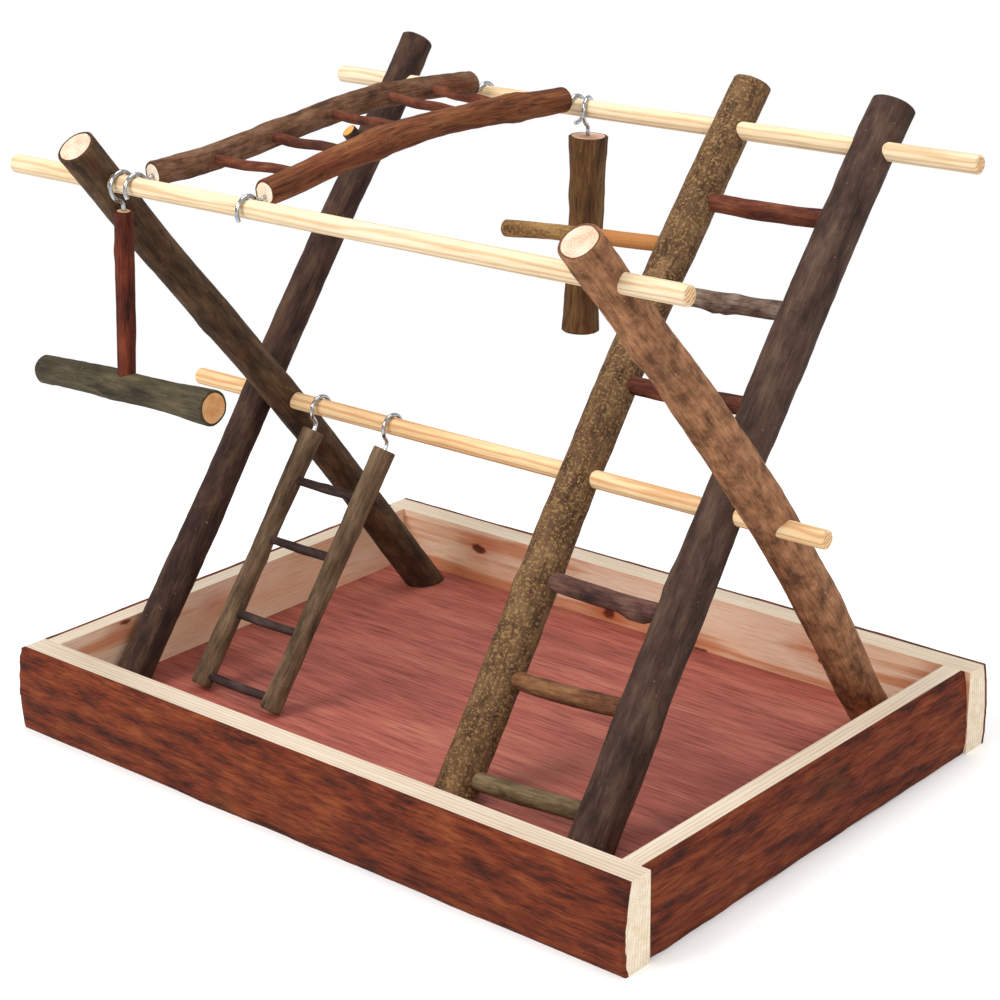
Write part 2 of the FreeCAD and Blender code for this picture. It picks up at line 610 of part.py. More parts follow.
def hook(label, where, wrap="hook_wrap"):
    """Open hook whose wire wraps so many degrees round the ring; returns the drill for its shank."""
    names = ("hook_drop", "hook_straight", "hook_bend", "hook_ring", wrap)
    drop, straight, bend, ring, turned = map(value, names)
    junction = math.atan2(drop, bend)
    body = new_body(label)
    path = new_sketch(body, f"{label}_path", "YZ_Plane")
    path.addGeometry(Part.LineSegment(Vector(0, -drop - straight, 0), Vector(0, -drop, 0)), False)
    bend_circle = Part.Circle(Vector(-bend, -drop, 0), Vector(0, 0, 1), bend)
    path.addGeometry(Part.ArcOfCircle(bend_circle, 0, junction), False)
    tip = math.radians(270 - turned)
    ring_circle = Part.Circle(Vector(0, 0, 0), Vector(0, 0, 1), ring)
    path.addGeometry(Part.ArcOfCircle(ring_circle, tip, junction + math.pi), False)
    path.addConstraint(Sketcher.Constraint("PointOnObject", 0, 1, -2))
    path.addConstraint(Sketcher.Constraint("PointOnObject", 0, 2, -2))
    path.addConstraint(Sketcher.Constraint("Tangent", 0, 2, 1, 1))
    path.addConstraint(Sketcher.Constraint("Tangent", 1, 2, 2, 2))
    path.addConstraint(Sketcher.Constraint("Coincident", 2, 3, -1, 1))
    bind(path, "straight", Sketcher.Constraint("DistanceY", 0, 1, 0, 2, straight), "hook_straight")
    bind(path, "bend", Sketcher.Constraint("Radius", 1, bend), "hook_bend")
    bind(path, "ring", Sketcher.Constraint("Radius", 2, ring), "hook_ring")
    bind(path, "tip", Sketcher.Constraint("DistanceY", -1, 1, 2, 1, ring * math.sin(tip)),
         f"-hook_ring * cos({wrap})")

    wire = new_sketch(body, f"{label}_wire", "XY_Plane")
    sided_section(wire, "hook_wire", HOOK_SIDES)
    wire.setExpression("AttachmentOffset.Base.z", live("-(hook_drop + hook_straight)"))
    pipe = body.newObject("PartDesign::AdditivePipe", f"{label}_pipe")
    pipe.Profile = wire
    pipe.Spine = (path, ["Edge1", "Edge2", "Edge3"])
    body.setExpression("Placement", live(where))
    keep(body)
    return bar(f"{label}_pilot", "hook_wire + bore_play", "hook_straight + seat_gap",
               shifted(where, "-(hook_drop + hook_straight + seat_gap)"))


def hung(x, perch_name, *turns):
    """Placement of a hook whose ring rests on top of a perch."""
    return shifted(spot(x, f"{perch_name}_y", f"{perch_name}_z", *turns), "-hook_hang")


# Swing: a stem on a hook, let into a crosswise perch.

swing_hook_place = hung("swing_x", "front_perch")
swing_pilot = hook("swing_hook", swing_hook_place)
derive("swing_drop", "swing_stem_length - swing_seat_depth + swing_perch_thickness_2 / 2")
stem_top = f"{shifted(swing_hook_place, '-hook_reach')} * {spot(0, 0, 0, ('Y', 'swing_lean'))}"
stem_where = shifted(stem_top, "-swing_stem_length")
stem = stick("swing_stem", "swing_stem", "swing_stem_length", stem_where)
bored("swing_stem", stem, [swing_pilot])
perch_turn = ("Y", "90 - swing_tilt - swing_lean")
perch_middle = f"{shifted(stem_top, '-swing_drop')} * {spot(0, 0, 0, perch_turn)}"
swing_perch = stick("swing_perch", "swing_perch", "swing_perch_length",
                    shifted(perch_middle, "-swing_perch_left"))
bored("swing_perch", swing_perch, [
    bar("swing_stem_seat", "swing_stem_thickness_0 + bore_play", "2 * swing_seat_depth + seat_gap",
        shifted(stem_where, "-seat_gap"))])

# Log: a short thick branch end-on under its hook.

log_hook_place = hung("log_x", "back_perch", ("Z", "log_turn"))
log_pilot = hook("log_hook", log_hook_place)
log_top = shifted(log_hook_place, "-(hook_drop + log_hook_showing)")
log_top = f"{log_top} * {spot(0, 0, 0, ('Y', 'log_lean'))}"
log = stick("hanging_log", "hanging_log", "log_length", shifted(log_top, "-log_length"))
bored("hanging_log", log, [log_pilot])

# Small ladder: two stiles hooked on the middle perch, their feet just clear of the floor.

derive("climber_lean", f"atan2(middle_perch_y - climber_foot_y; middle_perch_z - {FLOOR_TOP})")
derive("climber_upright", "cos(climber_lean) * cos(climber_rack)")
derive("climber_fall", "middle_perch_z - (hook_hang + hook_reach) * cos(climber_lean)"
       f" - {FLOOR_TOP} - foot_gap")
derive("climber_length", "climber_fall / climber_upright"
       " - climber_stile_thickness_0 / 2 * sqrt(1 / climber_upright^2 - 1)")
climber_places, climber_pilots = {}, {}
for side, x in (("left", "climber_left_x"), ("right", "climber_left_x + climber_width")):
    hook_place = hung(x, "middle_perch", ("X", "-climber_lean"))
    climber_pilots[side] = hook(f"climber_hook_{side}", hook_place)
    top = f"{shifted(hook_place, '-hook_reach')} * {spot(0, 0, 0, ('Y', 'climber_rack'))}"
    climber_places[side] = shifted(top, "-climber_length")
climber_seats = []
for number in range(1, len(CLIMBER_RUNGS) + 1):
    label = f"climber_rung_{number}"
    where = shifted(f"{climber_places['left']} * {spot(0, 0, f'{label}_up', ('Y', '90 - climber_rack'))}",
                    "climber_rung_inset")
    length = "(climber_width - 2 * climber_rung_inset)"
    keep(stick(label, "climber_rung", length, where))
    climber_seats.append(seat(f"{label}_seat", "climber_rung", length, where))
for side, where in climber_places.items():
    label = f"climber_stile_{side}"
    blank = stick(label, "climber_stile", "climber_length", where)
    bored(label, blank, [climber_pilots[side], *climber_seats])

# Bridge: two arched stiles, hooked on the back perch and, with hooks that lift off, on the front perch.

HOOK_LEVEL = "(hook_reach * cos(bridge_hook_tilt))"
HOOK_RISE = "(hook_reach * sin(bridge_hook_tilt) - hook_hang + bridge_over_hook)"
bridge_hook_turn = ("X", "-90 - bridge_hook_tilt")
bridge_starts, bridge_places, bridge_pilots = {}, {}, {}
for side in ("left", "right"):
    label = f"bridge_stile_{side}"
    start = (f"bridge_{side}_front_x", f"(front_perch_y + {HOOK_LEVEL})", f"(front_perch_z + {HOOK_RISE})")
    end = (f"bridge_{side}_back_x", f"(back_perch_y - {HOOK_LEVEL})", f"(back_perch_z + {HOOK_RISE})")
    bridge_starts[side] = start
    bridge_places[side], length = span(label, start, end)
    front = spot(f"bridge_{side}_front_x", "front_perch_y", "front_perch_z - hook_hang",
                 ("Z", "180"), bridge_hook_turn)
    back = spot(f"bridge_{side}_back_x", "back_perch_y", "back_perch_z - hook_hang", bridge_hook_turn)
    bridge_pilots[side] = [hook(f"bridge_hook_front_{side}", front, "lift_off_wrap"),
                           hook(f"bridge_hook_back_{side}", back)]


def on_stile(side, up, across):
    """Point formulas on the middle line of a bridge stile, so far from its front end."""
    label = f"bridge_stile_{side}"
    share = value(f"{up} / {label}_run")
    sway = sway_at(f"bridge_{side}_stile", "y", share)
    x, y, z = bridge_starts[side]
    part = f"({up} / {label}_run)"
    return (f"({x} + {label}_run_x * {part} + {across})",
            f"({y} + {label}_run_y * {part} + {sway} * {label}_run_z / {label}_run)",
            f"({z} + {label}_run_z * {part} - {sway} * {label}_run_flat / {label}_run)")


bridge_seats = []
for number in range(1, len(BRIDGE_RUNGS) + 1):
    label = f"bridge_rung_{number}"
    where, length = span(label, on_stile("left", f"{label}_left", "bridge_rung_inset"),
                         on_stile("right", f"{label}_right", "-bridge_rung_inset"))
    keep(stick(label, "bridge_rung", length, where))
    bridge_seats.append(seat(f"{label}_seat", "bridge_rung", length, where))
for side, where in bridge_places.items():
    label = f"bridge_stile_{side}"
    blank = stick(label, f"bridge_{side}_stile", f"{label}_run", where)
    bored(label, blank, [*bridge_pilots[side], *bridge_seats])

# Everything has to be sound before it is written out.

doc.recompute()
for item in doc.Objects:
    if {"Invalid", "Error"} & set(item.State):
        raise RuntimeError(f"{item.Label} did not build: {item.State}")
for piece in nodes:
    if piece.Shape.isNull() or not piece.Shape.isValid() or not piece.Shape.Solids:
        raise RuntimeError(f"{piece.Label} has no valid solid")

os.makedirs("parts", exist_ok=True)
for piece in nodes:
    piece.Shape.exportStep(f"parts/{piece.Label}.step")
print(len(nodes), "parts written")
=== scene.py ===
import math

import bmesh
import bpy
import numpy as np
from mathutils import Matrix, Quaternion, Vector, noise


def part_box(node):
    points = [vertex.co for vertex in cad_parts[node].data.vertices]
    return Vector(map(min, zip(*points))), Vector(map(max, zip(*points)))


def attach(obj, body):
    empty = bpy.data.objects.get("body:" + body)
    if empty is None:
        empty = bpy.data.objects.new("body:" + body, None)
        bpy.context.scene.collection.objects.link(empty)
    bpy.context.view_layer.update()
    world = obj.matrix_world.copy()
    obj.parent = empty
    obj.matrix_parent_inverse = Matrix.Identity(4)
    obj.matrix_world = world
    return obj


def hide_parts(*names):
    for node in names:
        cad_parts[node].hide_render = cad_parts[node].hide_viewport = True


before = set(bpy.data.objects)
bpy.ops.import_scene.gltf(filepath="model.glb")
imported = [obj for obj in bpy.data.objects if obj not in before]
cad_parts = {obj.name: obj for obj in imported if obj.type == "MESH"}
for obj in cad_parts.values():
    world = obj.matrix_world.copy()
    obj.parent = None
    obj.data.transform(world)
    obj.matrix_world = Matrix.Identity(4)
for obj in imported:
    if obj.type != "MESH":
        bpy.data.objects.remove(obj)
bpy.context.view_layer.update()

# Tray boards. Four slabs sawn from the outside of small softwood logs, planed flat within, above and
# below and left with their red-brown bark outside. The long ones cap the ends of the short ones and
# are nailed to them, so the pale end grain of the long boards shows at the corners.

MM = 0.001
# Blender's wave texture repeats every 0.314 m at a scale of 1.
WAVE_SCALE = 0.314


def linear(colour):
    """Linear colour of an sRGB hex value."""
    parts = [int(colour[place:place + 2], 16) / 255 for place in (1, 3, 5)]
    return [part / 12.92 if part <= 0.04045 else ((part + 0.055) / 1.055) ** 2.4 for part in parts] + [1.0]


def node(tree, kind, sockets=None, stops=None, **settings):
    """Add a shader node with its settings, its ramp's stops, and a value or a link for each socket."""
    new = tree.nodes.new(f"ShaderNode{kind}")
    for name, setting in settings.items():
        setattr(new, name, setting)
    if stops:
        elements = new.color_ramp.elements
        while len(elements) < len(stops):
            elements.new(0.5)
        for element, (place, colour) in zip(elements, stops):
            element.position = place
            element.color = linear(colour)
    for socket, value in (sockets or {}).items():
        if isinstance(value, bpy.types.NodeSocket):
            tree.links.new(value, new.inputs[socket])
        else:
            new.inputs[socket].default_value = value
    return new


def new_material(name, **finish):
    """Material with a Principled shader; returns the material, its node tree and the shader."""
    material = bpy.data.materials.new(name)
    material.use_nodes = True
    shader = material.node_tree.nodes["Principled BSDF"]
    for socket, value in finish.items():
        shader.inputs[socket.replace("_", " ")].default_value = value
    return material, material.node_tree, shader


def along_grain(tree, stretch):
    """The piece's own grain coordinates in metres, drawn out so many times along the grain."""
    grain = node(tree, "Attribute", attribute_name="grain")
    return node(tree, "Mapping", {"Vector": grain.outputs["Vector"], "Scale": (1, 1, 1 / stretch)}).outputs[0]


def mixed(tree, factor, first, second, way="MIX"):
    """Colours mixed by a factor."""
    return node(tree, "Mix", {0: factor, 6: first, 7: second}, data_type="RGBA", blend_type=way).outputs[2]


def pine(name, pale, warm, late_wood, line_mm, depth, knots=False):
    """Planed softwood: bands of early and late wood along the grain, and brown knots if it has any."""
    material, tree, shader = new_material(name, Roughness=0.7, Specular_IOR_Level=0.25)
    drift = node(tree, "TexNoise", {"Vector": along_grain(tree, 6), "Scale": 38.0, "Detail": 4.0})
    wave = {"Vector": along_grain(tree, 16), "Scale": WAVE_SCALE / (line_mm * MM), "Distortion": 6.0,
            "Detail": 3.0, "Detail Scale": 1.4}
    bands = node(tree, "TexWave", wave, bands_direction="X")
    colour = node(tree, "ValToRGB", {"Fac": drift.outputs[0]}, [(0.32, pale), (0.72, warm)]).outputs[0]
    late = node(tree, "ValToRGB", {"Fac": bands.outputs["Fac"]}, [(0.45, "#ffffff"), (1.0, late_wood)])
    colour = mixed(tree, depth, colour, late.outputs[0], "MULTIPLY")
    pores = node(tree, "TexNoise", {"Vector": along_grain(tree, 40), "Scale": 1500.0, "Detail": 2.0})
    streaks = node(tree, "ValToRGB", {"Fac": pores.outputs[0]}, [(0.38, "#d2ad86"), (0.52, "#ffffff")])
    colour = mixed(tree, depth * 0.5, colour, streaks.outputs[0], "MULTIPLY")
    if knots:
        bent = node(tree, "TexNoise", {"Vector": along_grain(tree, 2), "Scale": 90.0, "Detail": 3.0})
        place = node(tree, "VectorMath", {0: bent.outputs[1], 1: (0.012, 0.012, 0.012)}, operation="MULTIPLY")
        place = node(tree, "VectorMath", {0: along_grain(tree, 1.7), 1: place.outputs[0]}, operation="ADD")
        cells = node(tree, "TexVoronoi", {"Vector": place.outputs[0], "Scale": 27.0}, feature="F1")
        halo = node(tree, "ValToRGB", {"Fac": cells.outputs["Distance"]},
                    [(0.1, "#d98a52"), (0.42, "#ffffff")])
        colour = mixed(tree, 0.6, colour, halo.outputs[0], "MULTIPLY")
        knot = node(tree, "ValToRGB", {"Fac": cells.outputs["Distance"]},
                    [(0.05, "#4a2512"), (0.09, "#7c4422"), (0.125, "#ffffff")])
        colour = mixed(tree, 0.9, colour, knot.outputs[0], "MULTIPLY")
    tree.links.new(colour, shader.inputs["Base Color"])
    bump = node(tree, "Bump", {"Height": pores.outputs[0], "Strength": 0.25, "Distance": 0.3 * MM})
    tree.links.new(bump.outputs[0], shader.inputs["Normal"])
    return material


def sawn_end(name, pale, warm, ring_mm, line="#cf9f72"):
    """Sawn end grain: faint growth rings, drying checks from the pith, saw marks and a dull face."""
    material, tree, shader = new_material(name, Roughness=0.85, Specular_IOR_Level=0.2)
    grain = node(tree, "Attribute", attribute_name="grain").outputs["Vector"]
    wave = {"Vector": grain, "Scale": WAVE_SCALE / (ring_mm * MM), "Distortion": 2.4, "Detail": 3.0,
            "Detail Scale": 60.0}
    rings = node(tree, "TexWave", wave, wave_type="RINGS", rings_direction="Z")
    blotch = node(tree, "TexNoise", {"Vector": grain, "Scale": 130.0, "Detail": 5.0})
    saw = node(tree, "TexNoise", {"Vector": grain, "Scale": 1700.0, "Detail": 3.0})
    colour = node(tree, "ValToRGB", {"Fac": blotch.outputs[0]}, [(0.35, pale), (0.7, warm)]).outputs[0]
    late = node(tree, "ValToRGB", {"Fac": rings.outputs["Fac"]}, [(0.5, "#ffffff"), (0.95, line)]).outputs[0]
    colour = mixed(tree, 0.28, colour, late, "MULTIPLY")
    flat = node(tree, "VectorMath", {0: grain, 1: (1, 1, 0)}, operation="MULTIPLY").outputs[0]
    bearing = node(tree, "VectorMath", {0: flat}, operation="NORMALIZE").outputs[0]
    checks = node(tree, "TexNoise", {"Vector": bearing, "Scale": 7.0, "Detail": 1.0}).outputs[0]
    crack = node(tree, "ValToRGB", {"Fac": checks}, [(0.27, "#7a5038"), (0.33, "#ffffff")]).outputs[0]
    colour = mixed(tree, 0.45, colour, crack, "MULTIPLY")
    marks = node(tree, "ValToRGB", {"Fac": saw.outputs[0]}, [(0.3, "#d8c2a4"), (0.55, "#ffffff")]).outputs[0]
    tree.links.new(mixed(tree, 0.6, colour, marks, "MULTIPLY"), shader.inputs["Base Color"])
    bump = node(tree, "Bump", {"Height": saw.outputs[0], "Strength": 0.5, "Distance": 0.4 * MM})
    tree.links.new(bump.outputs[0], shader.inputs["Normal"])
    return material


def bark(name, dark, middle, light, pore, pore_mm=3.4, pores=0.2, speckle=None, streaks=0.4,
         patch=None, patches=0.5, patch_mm=40.0, relief=0.6, stretch=3.0, bare=None):
    """Bark: three tones in clouds, scarred patches, fibres along the stick, irregular specks if it has
    them, and small raised pores of their own size, of which the given share is there. Bare is where along
    the grain it is rubbed off, from where to where in metres, and the colour of the wood there."""
    material, tree, shader = new_material(name, Roughness=0.85, Specular_IOR_Level=0.22)
    clouds = node(tree, "TexNoise", {"Vector": along_grain(tree, stretch), "Scale": 110.0, "Detail": 8.0,
                                     "Roughness": 0.66})
    colour = node(tree, "ValToRGB", {"Fac": clouds.outputs[0]},
                  [(0.36, dark), (0.5, middle), (0.66, light)]).outputs[0]
    if patch:
        large = node(tree, "TexNoise", {"Vector": along_grain(tree, 1.9), "Scale": 1 / (patch_mm * MM),
                                        "Detail": 8.0, "Roughness": 0.62})
        place = 0.68 - 0.28 * patches
        mask = node(tree, "ValToRGB", {"Fac": large.outputs[0]},
                    [(place, "#000000"), (place + 0.12, "#d0d0d0")]).outputs[0]
        colour = mixed(tree, mask, colour, linear(patch))
    fibres = node(tree, "TexNoise", {"Vector": along_grain(tree, 16), "Scale": 900.0, "Detail": 5.0})
    lines = node(tree, "ValToRGB", {"Fac": fibres.outputs[0]}, [(0.34, "#5a4436"), (0.55, "#ffffff")])
    colour = mixed(tree, streaks, colour, lines.outputs[0], "MULTIPLY")
    if speckle:
        grains = node(tree, "TexNoise", {"Vector": along_grain(tree, 0.8), "Scale": 480.0, "Detail": 3.0,
                                         "Roughness": 0.6})
        specks = node(tree, "ValToRGB", {"Fac": grains.outputs[0]}, [(0.53, "#000000"), (0.61, "#c8c8c8")])
        colour = mixed(tree, specks.outputs[0], colour, linear(speckle))
    if bare:
        reach = node(tree, "SeparateXYZ", {"Vector": along_grain(tree, 1)}).outputs["Z"]
        reach = node(tree, "MapRange", {"Value": reach, "From Min": bare[0], "From Max": bare[1]}).outputs[0]
        colour = mixed(tree, reach, colour, linear(bare[2]))
    bent = node(tree, "TexNoise", {"Vector": along_grain(tree, 1), "Scale": 700.0, "Detail": 2.0})
    shift = node(tree, "VectorMath", {0: bent.outputs[1], 1: (0.0016, 0.0016, 0.0016)}, operation="MULTIPLY")
    place = node(tree, "VectorMath", {0: along_grain(tree, 0.8), 1: shift.outputs[0]}, operation="ADD")
    cells = node(tree, "TexVoronoi", {"Vector": place.outputs[0], "Scale": 1 / (pore_mm * MM)}, feature="F1")
    chosen = node(tree, "SeparateColor", {"Color": cells.outputs["Color"]})
    there = node(tree, "Math", {0: chosen.outputs[0], 1: pores}, operation="LESS_THAN").outputs[0]
    reach = node(tree, "Math", {0: chosen.outputs[1], 1: 0.14, 2: 0.08}, operation="MULTIPLY_ADD").outputs[0]
    inside = node(tree, "Math", {0: reach, 1: cells.outputs["Distance"]}, operation="SUBTRACT").outputs[0]
    inside = node(tree, "Math", {0: inside, 1: 14.0}, operation="MULTIPLY", use_clamp=True).outputs[0]
    dots = node(tree, "Math", {0: there, 1: inside}, operation="MULTIPLY").outputs[0]
    tint = node(tree, "Math", {0: dots, 1: 0.7}, operation="MULTIPLY").outputs[0]
    tree.links.new(mixed(tree, tint, colour, linear(pore)), shader.inputs["Base Color"])
    uneven = node(tree, "Math", {0: fibres.outputs[0], 1: clouds.outputs[0]}, operation="ADD").outputs[0]
    raised = node(tree, "Math", {0: dots, 1: 0.4, 2: uneven}, operation="MULTIPLY_ADD").outputs[0]
    bump = node(tree, "Bump", {"Height": raised, "Strength": relief, "Distance": 1.1 * MM})
    tree.links.new(bump.outputs[0], shader.inputs["Normal"])
    return material


def finished(name, shape, materials, body, slot, *nodes):
    """Object made from a bmesh, with its materials, riding on a body in place of CAD nodes."""
    mesh = bpy.data.meshes.new(name)
    bmesh.ops.recalc_face_normals(shape, faces=shape.faces)
    shape.to_mesh(mesh)
    shape.free()
    for material in materials:
        mesh.materials.append(material)
    piece = bpy.data.objects.new(name, mesh)
    bpy.context.scene.collection.objects.link(piece)
    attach(piece, body)
    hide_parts(*nodes)
    return piece


def ripple(where, size_mm, depth_mm):
    """Smooth unevenness in metres at a point, with waves of a real size."""
    return noise.noise(where / (size_mm * MM)) * depth_mm * MM


# Bark on a board: how thick it shows at the sawn ends, and the mesh's rows up it and step along it.
BOARD_BARK, BOARD_ROWS, BOARD_STEP = 2.6 * MM, 22, 3.2 * MM
# Red-brown bark, then planed pine for the inside, sawn pine for the top edge and end grain.
board_bark = bark("red_bark", "#3d160b", "#6b2b13", "#82401f", "#7b4a2c", pores=0.0, streaks=0.6,
                  patch="#3b2712", patches=0.42, patch_mm=56.0, relief=0.9, stretch=4.0)
board_inside = pine("planed_pine", "#f6dfc6", "#e9be98", "#d99566", 6.0, 0.75, True)
board_top = pine("sawn_pine", "#d9cbb8", "#c9b8a2", "#b0967a", 3.2, 0.3)
board_end = sawn_end("pine_end_grain", "#efe6d4", "#e3d2b6", 2.6)


def board(name, along, outward, top, bottom, bulge, seed):
    """Slab with its bark outside: along and outward are unit vectors in the frame's axes, and top and
    bottom are its thickness there, without the bulge between them."""
    low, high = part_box(name)
    span = abs((high - low).dot(along))
    thick = abs((high - low).dot(outward))
    height = high.z
    start = (low + high) / 2 - along * span / 2 - outward * thick / 2
    start.z = 0.0
    rows = BOARD_ROWS
    outline = [(0.0, 0.0), (0.0, height), (top - BOARD_BARK, height)]
    for row in range(rows + 1):
        up = 1 - row / rows
        flat = bottom + (top - bottom) * up
        outline.append((flat + bulge * (1 - (2 * up - 1) ** 2), height * up))
    outline.append((bottom - BOARD_BARK, 0.0))
    shape = bmesh.new()
    place = shape.verts.layers.float_vector.new("grain")
    profile = shape.verts.layers.int.new("profile")
    ring = [shape.verts.new((0, 0, 0)) for _ in outline]
    for number, corner in enumerate(ring):
        corner[profile] = number
    edges = [shape.edges.new((here, there)) for here, there in zip(ring, ring[1:] + ring[:1])]
    first = edges
    steps = round(span / BOARD_STEP)
    for step in range(steps + 1):
        if step:
            grown = bmesh.ops.extrude_edge_only(shape, edges=edges)["geom"]
            ring = [item for item in grown if isinstance(item, bmesh.types.BMVert)]
            edges = [item for item in grown if isinstance(item, bmesh.types.BMEdge)]
        distance = span * step / steps
        for corner in ring:
            out, up = outline[corner[profile]]
            here = Vector((distance / 4, up, seed))
            if corner[profile] >= 3 and out > bottom - BOARD_BARK + 0.2 * MM:
                # Lumps of three sizes, and grooves where the bark has split along the board.
                smooth = out
                out += ripple(here, 26, 1.0) + ripple(here, 7, 0.8) + ripple(here, 2.5, 0.4)
                groove = abs(noise.noise(Vector((distance / 0.12, up / 0.011, seed + 7))))
                out -= max(0.0, 0.16 - groove) * 6 * MM
                out = min(max(out + 0.5 * MM, smooth), thick + 0.9 * MM)
            corner.co = start + along * distance + outward * out + Vector((0, 0, up))
            corner[place] = (out + seed * 0.31, up, distance + seed * 0.17)
    # A rim of bark round each sawn end, which the cap of end grain then closes.
    for end in (first, edges):
        arc = [edge for edge in end if all(corner[profile] >= 3 for corner in edge.verts)]
        arc = [edge for edge in arc if max(corner[profile] for corner in edge.verts) <= rows + 3]
        grown = bmesh.ops.extrude_edge_only(shape, edges=arc)["geom"]
        for corner in grown:
            if isinstance(corner, bmesh.types.BMVert):
                corner.co -= outward * BOARD_BARK
    bmesh.ops.remove_doubles(shape, verts=shape.verts, dist=0.02 * MM)
    rims = [edge for edge in shape.edges if edge.is_boundary]
    cap = bmesh.ops.holes_fill(shape, edges=rims, sides=0)["faces"]
    shape.normal_update()
    for face in shape.faces:
        middle = face.calc_center_median() - start
        out, up = middle.dot(outward), middle.z
        face.smooth = True
        if face in cap:
            face.material_index = 3
            face.smooth = False
        elif out < 0.1 * MM:
            face.material_index = 1
            face.smooth = False
        elif abs(face.normal.z) > 0.9 and out < top - BOARD_BARK:
            face.material_index = 2
            face.smooth = False
    return finished(f"{name}_slab", shape, [board_bark, board_inside, board_top, board_end],
                    "stand", "bark_board", name)


RIGHT, BACK, UP = Vector((1, 0, 0)), Vector((0, 1, 0)), Vector((0, 0, 1))
LONG_BOARD = 19.6 * MM, 22.0 * MM, 3.2 * MM
SHORT_BOARD = 15.7 * MM, 17.0 * MM, 2.65 * MM
board("front_board", RIGHT, -BACK, *LONG_BOARD, 1)
board("back_board", RIGHT, BACK, *LONG_BOARD, 2)
board("left_board", BACK, -RIGHT, *SHORT_BOARD, 3)
board("right_board", BACK, RIGHT, *SHORT_BOARD, 4)

# Tray floor. A sheet of thin plywood, stained dark red and left dull, laid between the boards on
# brads. Its long pores run across the stand and the stain has worn pale in places.

stain, tree, shader = new_material("red_stained_plywood", Roughness=0.7)
flat = node(tree, "TexCoord").outputs["Object"]
drawn = node(tree, "Mapping", {"Vector": flat, "Scale": (0.045, 1, 1)}).outputs[0]
pores = node(tree, "TexNoise", {"Vector": drawn, "Scale": 700.0, "Detail": 4.0})
veins = node(tree, "Mapping", {"Vector": flat, "Scale": (0.12, 1, 1)}).outputs[0]
veins = node(tree, "TexNoise", {"Vector": veins, "Scale": 60.0, "Detail": 6.0, "Distortion": 0.6})
wear = node(tree, "TexNoise", {"Vector": flat, "Scale": 14.0, "Detail": 8.0, "Roughness": 0.65})
tone = node(tree, "ValToRGB", {"Fac": veins.outputs[0]},
            [(0.3, "#8f4638"), (0.5, "#a45445"), (0.7, "#b16753")])
dull = node(tree, "ValToRGB", {"Fac": pores.outputs[0]}, [(0.35, "#8f5048"), (0.56, "#ffffff")])
tint = mixed(tree, 0.65, tone.outputs[0], dull.outputs[0], "MULTIPLY")
worn = node(tree, "ValToRGB", {"Fac": wear.outputs[0]}, [(0.54, "#000000"), (0.74, "#707070")])
tint = mixed(tree, worn.outputs[0], tint, linear("#c4836c"))
tree.links.new(tint, shader.inputs["Base Color"])
bump = node(tree, "Bump", {"Height": pores.outputs[0], "Strength": 0.3, "Distance": 0.3 * MM})
tree.links.new(bump.outputs[0], shader.inputs["Normal"])
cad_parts["floor_panel"].data.materials.clear()
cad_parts["floor_panel"].data.materials.append(stain)

# Brads and screws. Plain drawn steel wire and countersunk wood screws: the brads lie under the bark
# and the screws show only from below, flush with the floor. Steel has a faint drawn sheen.

steel, tree, shader = new_material("plain_steel", Metallic=1.0, Roughness=0.35)
flat = node(tree, "TexCoord").outputs["Object"]
cloud = node(tree, "TexNoise", {"Vector": flat, "Scale": 900.0, "Detail": 3.0})
tone = node(tree, "ValToRGB", {"Fac": cloud.outputs[0]}, [(0.35, "#9b9c9e"), (0.65, "#c6c7c9")])
tree.links.new(tone.outputs[0], shader.inputs["Base Color"])
for name in ("board_brads", "pole_screws"):
    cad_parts[name].data.materials.clear()
    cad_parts[name].data.materials.append(steel)

# Poles. Five natural hazel and cherry branches, 23 to 29 mm thick, with their bark on. Each leans from
# the floor to an upper perch, is drilled for the perches, and is screwed down through its sawn foot.

# Slices along a stick, the bark seen round its sawn ends, and how far those ends are eased.
SLICES, BARK_RIM, EASING = 19, 1.2 * MM, 0.7 * MM


def spine(name, foot=0.0):
    """Middle line and radii of a CAD stick, from slices square to its length, and its two side axes.
    A foot is what to leave out at the lower end, where the floor cuts the stick at a slant."""
    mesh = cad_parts[name].data
    points = np.array([corner.co for corner in mesh.vertices])
    ends = np.array([edge.vertices[:] for edge in mesh.edges])
    along = np.linalg.svd(points - points.mean(axis=0), full_matrices=False)[2][0]
    if along[np.argmax(np.abs(along))] < 0:
        along = -along
    across = np.cross(along, (0, 1, 0) if abs(along[1]) < 0.9 else (1, 0, 0))
    across /= np.linalg.norm(across)
    third = np.cross(along, across)
    reach = points @ along
    low, high = reach.min(), reach.max()
    first, last = points[ends[:, 0]], points[ends[:, 1]]
    found = []
    for share in np.linspace(0, 1, SLICES):
        level = low + foot + 0.6 * MM + (high - low - foot - 1.2 * MM) * share
        before, after = first @ along - level, last @ along - level
        crossing = (before < 0) != (after < 0)
        part = (before / (before - after + 1e-12))[crossing, None]
        cut = first[crossing] + (last[crossing] - first[crossing]) * part
        sides = np.stack([cut @ across, cut @ third], axis=1)
        middle = (sides.min(axis=0) + sides.max(axis=0)) / 2
        radius = (sides.max(axis=0) - sides.min(axis=0)).max() / 2
        found.append([level, middle[0], middle[1], radius])
    found = np.array(found)
    for _ in range(2):
        found[1:-1, 1:] = (found[:-2, 1:] + 2 * found[1:-1, 1:] + found[2:, 1:]) / 4
    found[0, 0] = low - foot * 0.2
    found[-1, 0] = high
    return found, Vector(along), Vector(across), Vector(third)


